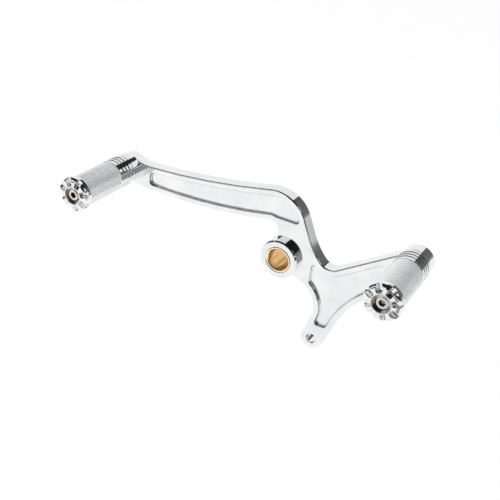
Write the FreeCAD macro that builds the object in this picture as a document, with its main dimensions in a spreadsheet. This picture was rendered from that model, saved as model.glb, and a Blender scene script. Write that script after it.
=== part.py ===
import FreeCAD, Part
import math
import os
import Sketcher
from FreeCAD import Placement, Rotation, Vector

# Heel toe shift lever of a motorbike: a chromed billet lever on a bronze pivot bush,
# with a knurled peg, a notched end cap and a button head screw at each end.
# Frame: origin on the pivot axis at the lever's front face, X towards the heel peg,
# Y inboard (the pegs point to -Y), Z up. Both peg axes lie on one level.

doc = FreeCAD.newDocument("shift_lever")

# Driving dimensions, in millimetres and degrees

SIZES = {
    "plate_thickness": 10.5,
    "front_chamfer": 1.2,
    "back_chamfer": 0.8,
    # pivot boss and bush
    "pivot_radius": 7.9375,
    "bush_wall": 1.5875,
    "bush_chamfer": 0.7,
    "boss_radius": 14.9,
    "boss_height": 5.6,
    "boss_back": 5.6,
    "boss_chamfer": 1.0,
    "boss_countersink": 0.85,
    # where the peg axes and the rod hole lie, measured from the pivot
    "toe_reach": 138.7,
    "heel_reach": 95.3,
    "peg_rise": 29.0,
    "rod_reach": 32.4,
    "rod_drop": 58.8,
    "rod_hole_radius": 3.97,
    # lever outline
    "toe_end_radius": 10.9,
    "toe_end_drop": 0.6,
    "toe_fillet": 32.0,
    "heel_end_radius": 11.5,
    "lug_radius": 8.6,
    "heel_fillet": 5.0,
    "under_radius": 440.0,
    "under_lean_angle": 4.6,
    "top_radius": 580.0,
    "toe_top_offset": 5.7,
    "shoulder_radius": 26.0,
    "shoulder_back": 9.7,
    "shoulder_rise": 24.0,
    "neck_left": 5.6,
    "neck_fillet": 6.0,
    "neck_angle": 65.5,
    "bend_radius": 10.0,
    "bend_ease_radius": 50.0,
    "bend_ease_angle": 45.0,
    "heel_top_angle": 34.3,
    "heel_top_offset": 9.4,
    "heel_under_angle": 40.0,
    "flank_radius": 80.0,
    "lug_right_angle": 70.4,
    "lug_left_angle": 73.0,
    "web_angle": 28.0,
    "web_offset": 4.5,
    "web_radius": 20.5,
    # milled pockets
    "pocket_rim": 4.3,
    "pocket_depth": 2.5,
    "pocket_corner": 2.8,
    "toe_pocket_end": 20.3,
    "heel_pocket_end": 21.0,
    "boss_land_drop": 0.6,
    "boss_land_right": 23.8,
    "lug_land": 13.0,
    # toe stand-off
    "stub_radius": 11.5,
    "stub_height": 8.5,
    "stub_root": 0.6,
    "stub_chamfer": 0.8,
    # pegs
    "peg_radius": 11.8,
    "peg_length": 50.5,
    "groove_count": 3,
    "groove_pitch": 3.5,
    "groove_width": 1.5,
    "groove_depth": 1.1,
    # end caps
    "cap_radius": 13.0,
    "cap_length": 6.0,
    "cap_bevel": 1.8,
    "cap_floor": 1.4,
    "head_bore_radius": 6.5,
    "notch_count": 8,
    "notch_width": 4.0,
    "notch_depth": 3.6,
    "notch_root_radius": 7.4,
    "notch_turn_angle": 19.0,
    # button head screws
    "screw_radius": 3.0,
    "screw_length": 60.0,
    "screw_clearance": 0.3,
    "head_radius": 5.25,
    "head_height": 3.3,
    "head_bevel": 1.4,
    "socket_width": 4.4,
    "socket_depth": 2.1,
}


def make_sheet(sizes):
    """Write every driving dimension in a sheet cell with its own alias."""
    sheet = doc.addObject("Spreadsheet::Sheet", "Sizes")
    for row, (alias, value) in enumerate(sizes.items(), start=1):
        sheet.set(f"A{row}", alias.replace("_", " "))
        sheet.set(f"B{row}", str(value))
        sheet.setAlias(f"B{row}", alias)
    doc.recompute()
    return sheet


sheet = make_sheet(SIZES)


def size(alias):
    """Value of one driving dimension, read back from the sheet."""
    return float(sheet.get(alias))


# Plane geometry for sketches: X along the lever, the sketch's Y is the object's Z

AXIS = Vector(0, 0, 1)


def heading(angle):
    return Vector(math.cos(math.radians(angle)), math.sin(math.radians(angle)), 0)


def left_of(direction):
    return Vector(-direction.y, direction.x, 0)


def towards(start, end):
    return (end - start).normalize()


def line_meet(point_a, dir_a, point_b, dir_b):
    """Point where two straight lines cross."""
    gap = point_b - point_a
    cross = dir_a.x * dir_b.y - dir_a.y * dir_b.x
    return point_a + dir_a * ((gap.x * dir_b.y - gap.y * dir_b.x) / cross)


def circle_meet(centre_a, radius_a, centre_b, radius_b):
    """Point where two circles cross, on the left of the line from a to b."""
    span = (centre_b - centre_a).Length
    along = (span ** 2 + radius_a ** 2 - radius_b ** 2) / (2 * span)
    across = math.sqrt(radius_a ** 2 - along ** 2)
    direction = towards(centre_a, centre_b)
    return centre_a + direction * along + left_of(direction) * across


def line(start, end):
    """A straight path piece, with the sketch's numbers for its two ends."""
    return Part.LineSegment(start, end), 1, 2


def arc(centre, start, end, left_turn):
    """A round path piece about a centre, turning left or right from start to end."""
    first = math.atan2(start.y - centre.y, start.x - centre.x)
    last = math.atan2(end.y - centre.y, end.x - centre.x)
    circle = Part.Circle(centre, AXIS, (start - centre).Length)
    if left_turn:
        if last < first:
            last += 2 * math.pi
        return Part.ArcOfCircle(circle, first, last), 1, 2
    if first < last:
        first += 2 * math.pi
    return Part.ArcOfCircle(circle, last, first), 2, 1


def add_path(sketch, path):
    """Add the pieces of a closed path and join each one to the next."""
    ids = [sketch.addGeometry(piece[0], False) for piece in path]
    for here in range(len(path)):
        after = (here + 1) % len(path)
        sketch.addConstraint(Sketcher.Constraint(
            "Coincident", ids[here], path[here][2], ids[after], path[after][1]))
    return ids


def bind(sketch, name, constraint, expression):
    """Add a named constraint whose value follows the sheet."""
    index = sketch.addConstraint(constraint)
    sketch.renameConstraint(index, name)
    sketch.setExpression(f"Constraints.{name}", expression)


def bind_place(sketch, geo, point, name, right="", up=""):
    """Hold a point of the sketch at the sheet's distances from its origin; none means on the axis."""
    for kind, axis, expression in (("DistanceX", -2, right), ("DistanceY", -1, up)):
        if not expression:
            sketch.addConstraint(Sketcher.Constraint("PointOnObject", geo, point, axis))
            continue
        measure = float(sketch.evalExpression(expression))
        label = f"{name}_{kind[-1].lower()}"
        if measure < 0:
            bind(sketch, label, Sketcher.Constraint(kind, geo, point, -1, 1, -measure), f"-({expression})")
        else:
            bind(sketch, label, Sketcher.Constraint(kind, -1, 1, geo, point, measure), expression)


def new_body(name):
    return doc.addObject("PartDesign::Body", name)


def new_sketch(body, name, plane):
    sketch = body.newObject("Sketcher::SketchObject", name)
    origin_plane = [item for item in body.Origin.OriginFeatures if item.Role == plane][0]
    sketch.AttachmentSupport = [(origin_plane, "")]
    sketch.MapMode = "FlatFace"
    return sketch


def add_circle(sketch, name, radius, right="", up=""):
    """A circle whose radius and place follow the sheet; no place means the origin."""
    geo = sketch.addGeometry(Part.Circle(Vector(0, 0, 0), AXIS, 1.0), False)
    bind(sketch, f"{name}_radius", Sketcher.Constraint("Radius", geo, 1.0), radius)
    if right:
        bind_place(sketch, geo, 3, name, right, up)
    else:
        sketch.addConstraint(Sketcher.Constraint("Coincident", geo, 3, -1, 1))
    return geo


def set_length(feature, expression, reverse=False):
    feature.setExpression("Length", expression)
    feature.Reversed = reverse


def edges_where(feature, test):
    """Names of a feature's edges that pass a test."""
    doc.recompute()
    names = []
    for number, edge in enumerate(feature.Shape.Edges, start=1):
        if test(edge):
            names.append(f"Edge{number}")
    if not names:
        raise RuntimeError(f"no edge found on {feature.Name}")
    return names


def ring_at(level, radius):
    """Test for a full round edge of one radius at one level along Y."""
    def test(edge):
        if not isinstance(edge.Curve, Part.Circle):
            return False
        same_level = abs(edge.Curve.Center.y - level) < 1e-4
        return same_level and abs(edge.Curve.Radius - radius) < 1e-4 and edge.isClosed()
    return test


def chamfer(body, base, names, expression, label):
    feature = body.newObject("PartDesign::Chamfer", label)
    feature.Base = (base, names)
    feature.setExpression("Size", expression)
    doc.recompute()
    return feature


# The lever's outline, as one path of lines and arcs run with the metal on its left


def lever_outline():
    toe = Vector(-size("toe_reach"), size("peg_rise"), 0)
    heel = Vector(size("heel_reach"), size("peg_rise"), 0)
    rod = Vector(size("rod_reach"), -size("rod_drop"), 0)
    toe_round = toe - Vector(0, size("toe_end_drop"), 0)
    toe_end = size("toe_end_radius")
    heel_end = size("heel_end_radius")
    lug = size("lug_radius")
    boss = size("boss_radius")

    # underside of the toe arm, one long arc that the round toe end runs into
    under = size("under_radius")
    lean = heading(90 - size("under_lean_angle"))
    under_centre = toe_round + lean * (under - toe_end)
    under_start = toe_round - lean * toe_end

    # left side of the neck, with a fillet up to the underside
    neck_x = -size("neck_left")
    neck_fillet = size("neck_fillet")
    corner_x = neck_x - neck_fillet
    corner_drop = math.sqrt((under + neck_fillet) ** 2 - (corner_x - under_centre.x) ** 2)
    corner = Vector(corner_x, under_centre.y - corner_drop, 0)
    under_end = under_centre + towards(under_centre, corner) * under
    neck_top = Vector(neck_x, corner.y, 0)
    neck_foot = Vector(neck_x, math.sqrt(boss ** 2 - neck_x ** 2), 0)

    # web under the boss, then the lug that takes the shift rod
    web_dir = heading(-size("web_angle"))
    web_offset = size("web_offset")
    web_start = web_dir * math.sqrt(boss ** 2 - web_offset ** 2) - left_of(web_dir) * web_offset
    lug_down = heading(size("lug_left_angle") + 180)
    lug_left = rod - left_of(lug_down) * lug
    web = size("web_radius")
    web_centre = line_meet(web_start - left_of(web_dir) * web, web_dir,
                           lug_left - left_of(lug_down) * web, lug_down)
    web_end = web_centre + left_of(web_dir) * web
    lug_start = web_centre + left_of(lug_down) * web
    lug_up = heading(size("lug_right_angle"))
    lug_right = rod - left_of(lug_up) * lug

    # flank from the lug up to the round heel end
    heel_dir = heading(size("heel_under_angle"))
    heel_under = heel - left_of(heel_dir) * heel_end
    flank = size("flank_radius")
    flank_centre = line_meet(lug_right - left_of(lug_up) * flank, lug_up,
                             heel_under - left_of(heel_dir) * flank, heel_dir)
    flank_start = flank_centre + left_of(lug_up) * flank
    flank_end = flank_centre + left_of(heel_dir) * flank

    # top of the heel arm, a little below the round end, with a fillet between
    top_dir = heading(size("heel_top_angle") + 180)
    offset = size("heel_top_offset")
    fillet = size("heel_fillet")
    reach = math.sqrt((heel_end + fillet) ** 2 - (offset + fillet) ** 2)
    heel_fillet = heel - left_of(top_dir) * (offset + fillet) + top_dir * reach
    heel_end_stop = heel + towards(heel, heel_fillet) * heel_end
    heel_top_start = heel_fillet + left_of(top_dir) * fillet

    # bend between the heel arm and the neck, a tight arc easing into a long one
    shoulder = size("shoulder_radius")
    shoulder_centre = Vector(-size("shoulder_back"), size("shoulder_rise"), 0)
    neck_dir = heading(180 - size("neck_angle"))
    neck_start = shoulder_centre - left_of(neck_dir) * shoulder
    bend = size("bend_radius")
    ease = size("bend_ease_radius")
    ease_dir = heading(180 - size("bend_ease_angle"))
    ease_shift = left_of(ease_dir) * (bend - ease)
    first_guess = heel_top_start - left_of(top_dir) * bend + ease_shift
    side = left_of(neck_dir)
    slide = -((first_guess - neck_start).dot(side) + ease) / top_dir.dot(side)
    bend_centre = heel_top_start - left_of(top_dir) * bend + top_dir * slide
    ease_centre = bend_centre + ease_shift
    bend_start = bend_centre + left_of(top_dir) * bend
    bend_end = bend_centre + left_of(ease_dir) * bend
    ease_end = ease_centre + side * ease

    # shoulder, and the long hollow top of the toe arm down to the round toe end
    top = size("top_radius")
    top_centre = circle_meet(shoulder_centre, top + shoulder, toe, top + size("toe_top_offset"))
    if top_centre.y < 0:
        top_centre = circle_meet(toe, top + size("toe_top_offset"), shoulder_centre, top + shoulder)
    shoulder_end = shoulder_centre + towards(shoulder_centre, top_centre) * shoulder
    sweep = size("toe_fillet")
    toe_fillet = circle_meet(top_centre, top - sweep, toe_round, toe_end + sweep)
    top_end = top_centre + towards(top_centre, toe_fillet) * top
    toe_start = toe_round + towards(toe_round, toe_fillet) * toe_end

    return {
        "under": arc(under_centre, under_start, under_end, True),
        "neck_fillet": arc(corner, under_end, neck_top, False),
        "neck_left": line(neck_top, neck_foot),
        "boss": arc(Vector(0, 0, 0), neck_foot, web_start, True),
        "web": line(web_start, web_end),
        "web_bend": arc(web_centre, web_end, lug_start, False),
        "lug_left": line(lug_start, lug_left),
        "lug": arc(rod, lug_left, lug_right, True),
        "lug_right": line(lug_right, flank_start),
        "flank": arc(flank_centre, flank_start, flank_end, False),
        "heel_under": line(flank_end, heel_under),
        "heel_end": arc(heel, heel_under, heel_end_stop, True),
        "heel_fillet": arc(heel_fillet, heel_end_stop, heel_top_start, False),
        "heel_top": line(heel_top_start, bend_start),
        "bend": arc(bend_centre, bend_start, bend_end, False),
        "bend_ease": arc(ease_centre, bend_end, ease_end, False),
        "neck_right": line(ease_end, neck_start),
        "shoulder": arc(shoulder_centre, neck_start, shoulder_end, True),
        "top": arc(top_centre, shoulder_end, top_end, False),
        "toe_fillet": arc(toe_fillet, top_end, toe_start, False),
        "toe_end": arc(toe_round, toe_start, under_start, True),
    }


# Arcs of the outline and the dimension that each one's radius follows
OUTLINE_RADII = {
    "under": "under_radius",
    "neck_fillet": "neck_fillet",
    "web_bend": "web_radius",
    "flank": "flank_radius",
    "heel_fillet": "heel_fillet",
    "bend": "bend_radius",
    "bend_ease": "bend_ease_radius",
    "top": "top_radius",
    "toe_fillet": "toe_fillet",
}

# Round ends of the outline: radius, and place right of and above the pivot
OUTLINE_ENDS = {
    "toe_end": ("Sizes.toe_end_radius", "-Sizes.toe_reach", "Sizes.peg_rise - Sizes.toe_end_drop"),
    "heel_end": ("Sizes.heel_end_radius", "Sizes.heel_reach", "Sizes.peg_rise"),
    "lug": ("Sizes.lug_radius", "Sizes.rod_reach", "-Sizes.rod_drop"),
    "shoulder": ("Sizes.shoulder_radius", "-Sizes.shoulder_back", "Sizes.shoulder_rise"),
}


def make_blank():
    """The lever before its pockets, with its outline and the height of the neck fillet's top."""
    body = new_body("lever_blank")
    sketch = new_sketch(body, "outline", "XZ_Plane")
    outline = lever_outline()
    numbers = dict(zip(outline, add_path(sketch, list(outline.values()))))
    for name, alias in OUTLINE_RADII.items():
        radius = Sketcher.Constraint("Radius", numbers[name], size(alias))
        bind(sketch, f"{name}_size", radius, f"Sizes.{alias}")
    for name, (radius, right, up) in OUTLINE_ENDS.items():
        alias = radius.split(".")[1]
        bind(sketch, f"{name}_size", Sketcher.Constraint("Radius", numbers[name], size(alias)), radius)
        bind_place(sketch, numbers[name], 3, name, right, up)
    plate = body.newObject("PartDesign::Pad", "plate")
    plate.Profile = sketch
    set_length(plate, "Sizes.plate_thickness", reverse=True)
    doc.recompute()

    front = edges_where(plate, lambda edge: abs(edge.BoundBox.YMin) < 1e-6 and abs(edge.BoundBox.YMax) < 1e-6)
    broken = chamfer(body, plate, front, "Sizes.front_chamfer", "front_edge")
    thick = size("plate_thickness")
    back = edges_where(broken, lambda edge: edge.BoundBox.YMin > thick - 1e-6)
    broken = chamfer(body, broken, back, "Sizes.back_chamfer", "back_edge")

    # the boss goes right through the plate and stands proud on both sides; the stand-off is wider
    # than the toe end and so has its foot in the broken front edge
    boss = add_post(body, "boss", "Sizes.boss_radius", "Sizes.boss_height",
                    "Sizes.plate_thickness + Sizes.boss_back")
    rim = edges_where(boss, ring_at(-size("boss_height"), size("boss_radius")))
    rim += edges_where(boss, ring_at(size("plate_thickness") + size("boss_back"), size("boss_radius")))
    boss = chamfer(body, boss, rim, "Sizes.boss_chamfer", "boss_edge")
    stub = add_post(body, "stub", "Sizes.stub_radius", "Sizes.stub_height", "Sizes.stub_root",
                    "-Sizes.toe_reach", "Sizes.peg_rise")
    rim = edges_where(stub, ring_at(-size("stub_height"), size("stub_radius")))
    chamfer(body, stub, rim, "Sizes.stub_chamfer", "stub_edge")

    add_bore(body, "bush_bore", "Sizes.pivot_radius + Sizes.bush_wall")
    mouth = edges_where(body.Tip, ring_at(-size("boss_height"), size("pivot_radius") + size("bush_wall")))
    chamfer(body, body.Tip, mouth, "Sizes.boss_countersink", "bush_countersink")
    add_bore(body, "toe_tapped_hole", "Sizes.screw_radius", "-Sizes.toe_reach", "Sizes.peg_rise")
    add_bore(body, "heel_tapped_hole", "Sizes.screw_radius", "Sizes.heel_reach", "Sizes.peg_rise")
    add_bore(body, "rod_hole", "Sizes.rod_hole_radius", "Sizes.rod_reach", "-Sizes.rod_drop")
    corner = outline["neck_fillet"][0]
    return body, sketch, corner.Center.y + corner.Radius


def add_post(body, name, radius, height, root, right="", up=""):
    """A round post standing out of the front face, rooted a little way into the plate."""
    sketch = new_sketch(body, f"{name}_circle", "XZ_Plane")
    sketch.setExpression("AttachmentOffset.Base.z", f"-({root})")
    add_circle(sketch, name, radius, right, up)
    pad = body.newObject("PartDesign::Pad", f"{name}_post")
    pad.Profile = sketch
    set_length(pad, f"{height} + {root}")
    doc.recompute()
    return pad


def add_bore(body, name, radius, right="", up=""):
    """A round hole right through, from in front of the boss and the stand-off to the back."""
    sketch = new_sketch(body, f"{name}_circle", "XZ_Plane")
    sketch.setExpression("AttachmentOffset.Base.z", "Sizes.boss_height + Sizes.stub_height")
    add_circle(sketch, name, radius, right, up)
    before = body.Shape.Volume
    cut = body.newObject("PartDesign::Pocket", name)
    cut.Profile = sketch
    cut.Type = "ThroughAll"
    doc.recompute()
    if body.Shape.Volume >= before:
        raise RuntimeError(f"{name} cuts nothing")
    return cut


def make_land(name, left, right, bottom, top):
    """A block of metal that the pockets leave standing, given by its four sides."""
    land = doc.addObject("Part::Box", name)
    land.setExpression("Length", f"({right}) - ({left})")
    land.setExpression("Width", "3 * Sizes.pocket_depth")
    land.setExpression("Height", f"({top}) - ({bottom})")
    land.setExpression("Placement.Base.x", left)
    land.setExpression("Placement.Base.y", "-Sizes.pocket_depth")
    land.setExpression("Placement.Base.z", bottom)
    return land


def make_pocket_tool(outline, neck_crest):
    """The two pockets as one cutter: the outline moved in by the rim, less the lands.

    The land round the boss ends a little under the top of the neck fillet, moved in by the rim too.
    """
    inner = doc.addObject("Part::Offset2D", "pocket_outline")
    inner.Source = outline
    inner.setExpression("Value", "-Sizes.pocket_rim")
    doc.recompute()
    block = doc.addObject("Part::Extrusion", "pocket_block")
    block.Base = inner
    block.DirMode = "Custom"
    block.Dir = Vector(0, 1, 0)
    block.setExpression("LengthFwd", "Sizes.pocket_depth")
    block.Solid = True

    reach = "Sizes.toe_reach + Sizes.heel_reach"
    lands = [
        make_land("toe_land", f"-({reach})", "-Sizes.toe_reach + Sizes.toe_pocket_end",
                  "-Sizes.rod_drop", "Sizes.rod_drop + Sizes.peg_rise"),
        make_land("boss_land", "-Sizes.neck_left - Sizes.neck_fillet", "Sizes.boss_land_right",
                  "-Sizes.rod_drop", f"{neck_crest} + Sizes.pocket_rim - Sizes.boss_land_drop"),
        make_land("lug_land", "-Sizes.rod_drop", "Sizes.heel_reach",
                  "-2 * Sizes.rod_drop", "-Sizes.rod_drop + Sizes.lug_land"),
    ]
    heel_land = doc.addObject("Part::Cylinder", "heel_land")
    heel_land.setExpression("Radius", "Sizes.heel_pocket_end")
    heel_land.setExpression("Height", "3 * Sizes.pocket_depth")
    heel_land.Placement.Rotation = Rotation(Vector(1, 0, 0), -90)
    heel_land.setExpression("Placement.Base.x", "Sizes.heel_reach")
    heel_land.setExpression("Placement.Base.y", "-Sizes.pocket_depth")
    heel_land.setExpression("Placement.Base.z", "Sizes.peg_rise")
    kept = doc.addObject("Part::MultiFuse", "pocket_lands")
    kept.Shapes = lands + [heel_land]
    rough = doc.addObject("Part::Cut", "pocket_rough")
    rough.Base = block
    rough.Tool = kept
    doc.recompute()

    rounded = doc.addObject("Part::Fillet", "pocket_tool")
    rounded.Base = rough
    radius = size("pocket_corner")
    rounded.Edges = [(number, radius, radius) for number in corner_edges(rough.Shape)]
    doc.recompute()
    return rounded


def corner_edges(shape):
    """Numbers of the edges along Y where two walls meet at an angle."""
    numbers = []
    for number, edge in enumerate(shape.Edges, start=1):
        box = edge.BoundBox
        if box.YLength < 1e-6 or max(box.XLength, box.ZLength) > 1e-6:
            continue
        middle = edge.valueAt((edge.FirstParameter + edge.LastParameter) / 2)
        normals = []
        for face in shape.ancestorsOfType(edge, Part.Face):
            u, v = face.Surface.parameter(middle)
            normals.append(face.normalAt(u, v))
        if len(normals) == 2 and normals[0].dot(normals[1]) < math.cos(math.radians(8)):
            numbers.append(number)
    return numbers


def make_lever():
    blank, outline, neck_crest = make_blank()
    tool = make_pocket_tool(outline, neck_crest)
    lever = doc.addObject("Part::Cut", "lever")
    lever.Base = blank
    lever.Tool = tool
    doc.recompute()
    lever.Label = "lever"
    return lever


# Turned pieces, each drawn as a half section and spun about its own axis.
# Their own origin is on the face that seats, with the axis along Y.


def box_path(sketch, name, inner, outer, start, end):
    """A rectangle of a half section: radii along X, distances along Y."""
    low = Vector(1, 1, 0)
    high = Vector(2, 2, 0)
    corners = [low, Vector(high.x, low.y, 0), high, Vector(low.x, high.y, 0)]
    ids = add_path(sketch, [line(corners[i], corners[(i + 1) % 4]) for i in range(4)])
    for geo, kind in zip(ids, ("Horizontal", "Vertical", "Horizontal", "Vertical")):
        sketch.addConstraint(Sketcher.Constraint(kind, geo))
    bind_place(sketch, ids[0], 1, f"{name}_near", inner, start)
    bind_place(sketch, ids[2], 1, f"{name}_far", outer, end)
    return ids


def spin(body, sketch, name, kind="PartDesign::Revolution"):
    before = body.Shape.Volume if body.Tip else 0
    feature = body.newObject(kind, name)
    feature.Profile = sketch
    feature.ReferenceAxis = (sketch, ["V_Axis"])
    feature.Angle = 360
    doc.recompute()
    if kind == "PartDesign::Groove" and body.Shape.Volume >= before:
        raise RuntimeError(f"{name} cuts nothing")
    return feature


def ring(body, name, inner, outer, start, end, kind="PartDesign::Revolution"):
    """Add or cut a ring of square section."""
    sketch = new_sketch(body, f"{name}_section", "XY_Plane")
    box_path(sketch, name, inner, outer, start, end)
    return spin(body, sketch, name, kind)


def make_bush():
    body = new_body("pivot_bush")
    ring(body, "bush_wall", "Sizes.pivot_radius", "Sizes.pivot_radius + Sizes.bush_wall",
         "-Sizes.boss_height", "Sizes.plate_thickness + Sizes.boss_back")
    mouth = edges_where(body.Tip, ring_at(-size("boss_height"), size("pivot_radius")))
    chamfer(body, body.Tip, mouth, "Sizes.bush_chamfer", "bush_mouth")
    body.Label = "pivot_bush"
    return body


def make_peg(label):
    """Collar and knurled grip in one; it seats on the lever at y 0 and runs out to -Y."""
    body = new_body(label)
    ring(body, "grip", "Sizes.screw_radius + Sizes.screw_clearance", "Sizes.peg_radius",
         "-Sizes.peg_length", "")
    add_ring_grooves(body)
    body.Label = label
    return body


def add_ring_grooves(body):
    """Ring grooves of the collar: one square cut, repeated towards the grip."""
    near = "-Sizes.groove_pitch + Sizes.groove_width / 2"
    far = "-Sizes.groove_pitch - Sizes.groove_width / 2"
    groove = ring(body, "ring_groove", "Sizes.peg_radius - Sizes.groove_depth",
                  "Sizes.peg_radius + Sizes.groove_depth", far, near, "PartDesign::Groove")
    pattern = body.newObject("PartDesign::LinearPattern", "ring_grooves")
    pattern.Originals = [groove]
    pattern.Direction = (groove.Profile[0], ["V_Axis"])
    pattern.Reversed = True
    pattern.setExpression("Length", "Sizes.groove_pitch * (Sizes.groove_count - 1)")
    pattern.setExpression("Occurrences", "Sizes.groove_count")
    body.Tip = pattern
    doc.recompute()


def make_cap(label):
    """Notched end cap; its back seats on the peg's end at y 0, its bore takes the screw's head."""
    body = new_body(label)
    ring(body, "flange", "Sizes.screw_radius + Sizes.screw_clearance", "Sizes.cap_radius",
         "-Sizes.cap_length", "")
    front = edges_where(body.Tip, ring_at(-size("cap_length"), size("cap_radius")))
    chamfer(body, body.Tip, front, "Sizes.cap_bevel", "front_bevel")
    ring(body, "head_bore", "Sizes.screw_radius", "Sizes.head_bore_radius", "-Sizes.cap_length",
         "-Sizes.cap_floor", "PartDesign::Groove")
    add_notches(body)
    body.Label = label
    return body


def add_notches(body):
    """Radial notches round the flange, leaving a plain lip round the bore."""
    sketch = new_sketch(body, "notch_section", "XZ_Plane")
    sketch.setExpression("AttachmentOffset.Base.z", "Sizes.cap_length")
    half = size("notch_width") / 2
    near = size("notch_root_radius")
    far = size("cap_radius") + half
    corners = [Vector(near, -half, 0), Vector(far, -half, 0), Vector(far, half, 0), Vector(near, half, 0)]
    ids = add_path(sketch, [line(corners[k], corners[(k + 1) % 4]) for k in range(4)])
    for geo, kind in zip(ids, ("Horizontal", "Vertical", "Horizontal", "Vertical")):
        sketch.addConstraint(Sketcher.Constraint(kind, geo))
    bind_place(sketch, ids[0], 1, "near", "Sizes.notch_root_radius", "-Sizes.notch_width / 2")
    bind_place(sketch, ids[2], 1, "far", "Sizes.cap_radius + Sizes.notch_width / 2", "Sizes.notch_width / 2")
    before = body.Shape.Volume
    notch = body.newObject("PartDesign::Pocket", "notch")
    notch.Profile = sketch
    set_length(notch, "Sizes.notch_depth")
    doc.recompute()
    if body.Shape.Volume >= before:
        raise RuntimeError("the notch cuts nothing")
    pattern = body.newObject("PartDesign::PolarPattern", "notches")
    pattern.Originals = [notch]
    pattern.Axis = (sketch, ["N_Axis"])
    pattern.Angle = 360
    pattern.setExpression("Occurrences", "Sizes.notch_count")
    body.Tip = pattern
    doc.recompute()


def make_screw(label):
    """Button head screw; its head seats at y 0, its shank runs to +Y."""
    body = new_body(label)
    ring(body, "head", "", "Sizes.head_radius", "-Sizes.head_height", "")
    top = edges_where(body.Tip, ring_at(-size("head_height"), size("head_radius")))
    chamfer(body, body.Tip, top, "Sizes.head_bevel", "head_edge")
    ring(body, "shank", "", "Sizes.screw_radius", "", "Sizes.screw_length")
    sketch = new_sketch(body, "socket_section", "XZ_Plane")
    sketch.setExpression("AttachmentOffset.Base.z", "Sizes.head_height")
    corner = size("socket_width") / math.sqrt(3)
    points = [heading(60 * k) * corner for k in range(6)]
    ids = add_path(sketch, [line(points[k], points[(k + 1) % 6]) for k in range(6)])
    guide = sketch.addGeometry(Part.Circle(Vector(0, 0, 0), AXIS, corner), True)
    sketch.addConstraint(Sketcher.Constraint("Coincident", guide, 3, -1, 1))
    for geo in ids:
        sketch.addConstraint(Sketcher.Constraint("PointOnObject", geo, 1, guide))
    for geo in ids[1:]:
        sketch.addConstraint(Sketcher.Constraint("Equal", ids[0], geo))
    sketch.addConstraint(Sketcher.Constraint("PointOnObject", ids[0], 1, -1))
    bind(sketch, "corner_size", Sketcher.Constraint("Radius", guide, corner), "Sizes.socket_width / sqrt(3)")
    before = body.Shape.Volume
    socket = body.newObject("PartDesign::Pocket", "socket")
    socket.Profile = sketch
    set_length(socket, "Sizes.socket_depth")
    doc.recompute()
    if body.Shape.Volume >= before:
        raise RuntimeError("the socket cuts nothing")
    body.Label = label
    return body


def place(body, right, along, up, turn=0.0):
    """Put a piece at the sheet's distances from the pivot, turned about its own axis."""
    body.Placement = Placement(Vector(0, 0, 0), Rotation(Vector(0, -1, 0), turn))
    body.setExpression("Placement.Base.x", right)
    body.setExpression("Placement.Base.y", along)
    body.setExpression("Placement.Base.z", up)


def make_peg_set(end, right, seat):
    """Peg, cap and screw of one end; seat is how far the lever stands out there."""
    out = f"-({seat}) - Sizes.peg_length"
    peg = make_peg(f"{end}_peg")
    place(peg, right, f"-({seat})", "Sizes.peg_rise")
    cap = make_cap(f"{end}_peg_cap")
    place(cap, right, out, "Sizes.peg_rise", size("notch_turn_angle"))
    screw = make_screw(f"{end}_peg_screw")
    place(screw, right, f"{out} - Sizes.cap_floor", "Sizes.peg_rise")
    return [peg, cap, screw]


pieces = [make_lever(), make_bush()]
pieces += make_peg_set("toe", "-Sizes.toe_reach", "Sizes.stub_height")
pieces += make_peg_set("heel", "Sizes.heel_reach", "0")
doc.recompute()

for item in doc.Objects:
    if "Invalid" in item.State or "Error" in item.State:
        raise RuntimeError(f"{item.Name} failed: {item.State}")
os.makedirs("parts", exist_ok=True)
for piece in pieces:
    shape = piece.Shape
    if shape.isNull() or not shape.isValid():
        raise RuntimeError(f"{piece.Label} has a bad shape")
    print(f"{piece.Label}: {len(shape.Solids)} solid, {shape.Volume / 1000:.2f} cm3")
    shape.exportStep(f"parts/{piece.Label}.step")
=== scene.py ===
# %% [markdown]
# A chromed heel and toe shift lever, dressed for its photograph. The CAD model brings eight pieces in
# metres: one billet lever, a bronze pivot bush, two foot pegs, two notched end caps and two screws. The
# lever lies in the X-Z plane, its pegs point along -Y, and the origin is on the pivot's axis. This
# lesson keeps that frame and adds what a solid modeller leaves out: the knurl on the pegs, the plated
# and turned finishes, and the studio that chrome needs to look like chrome.

# %% Load the lever
import math

import bmesh
import bpy
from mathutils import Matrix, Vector
from mathutils.geometry import delaunay_2d_cdt


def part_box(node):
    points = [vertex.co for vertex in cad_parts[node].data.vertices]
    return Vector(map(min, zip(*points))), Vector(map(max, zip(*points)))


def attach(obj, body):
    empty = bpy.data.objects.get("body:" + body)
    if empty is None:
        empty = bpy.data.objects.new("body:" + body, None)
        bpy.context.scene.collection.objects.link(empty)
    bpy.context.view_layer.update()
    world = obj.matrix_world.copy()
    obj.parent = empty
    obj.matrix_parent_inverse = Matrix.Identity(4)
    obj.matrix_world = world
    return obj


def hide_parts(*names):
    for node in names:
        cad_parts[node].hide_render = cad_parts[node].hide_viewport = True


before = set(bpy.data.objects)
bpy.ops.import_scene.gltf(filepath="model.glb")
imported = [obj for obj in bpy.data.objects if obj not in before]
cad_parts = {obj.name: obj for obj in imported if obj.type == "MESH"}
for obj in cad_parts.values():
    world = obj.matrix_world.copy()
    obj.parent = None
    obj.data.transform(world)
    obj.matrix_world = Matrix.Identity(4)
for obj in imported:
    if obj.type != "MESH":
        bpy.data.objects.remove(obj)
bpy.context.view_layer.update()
mm = 0.001
for name in sorted(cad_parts):
    low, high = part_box(name)
    print(name, "from", [round(v / mm, 1) for v in low], "to", [round(v / mm, 1) for v in high])

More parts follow.
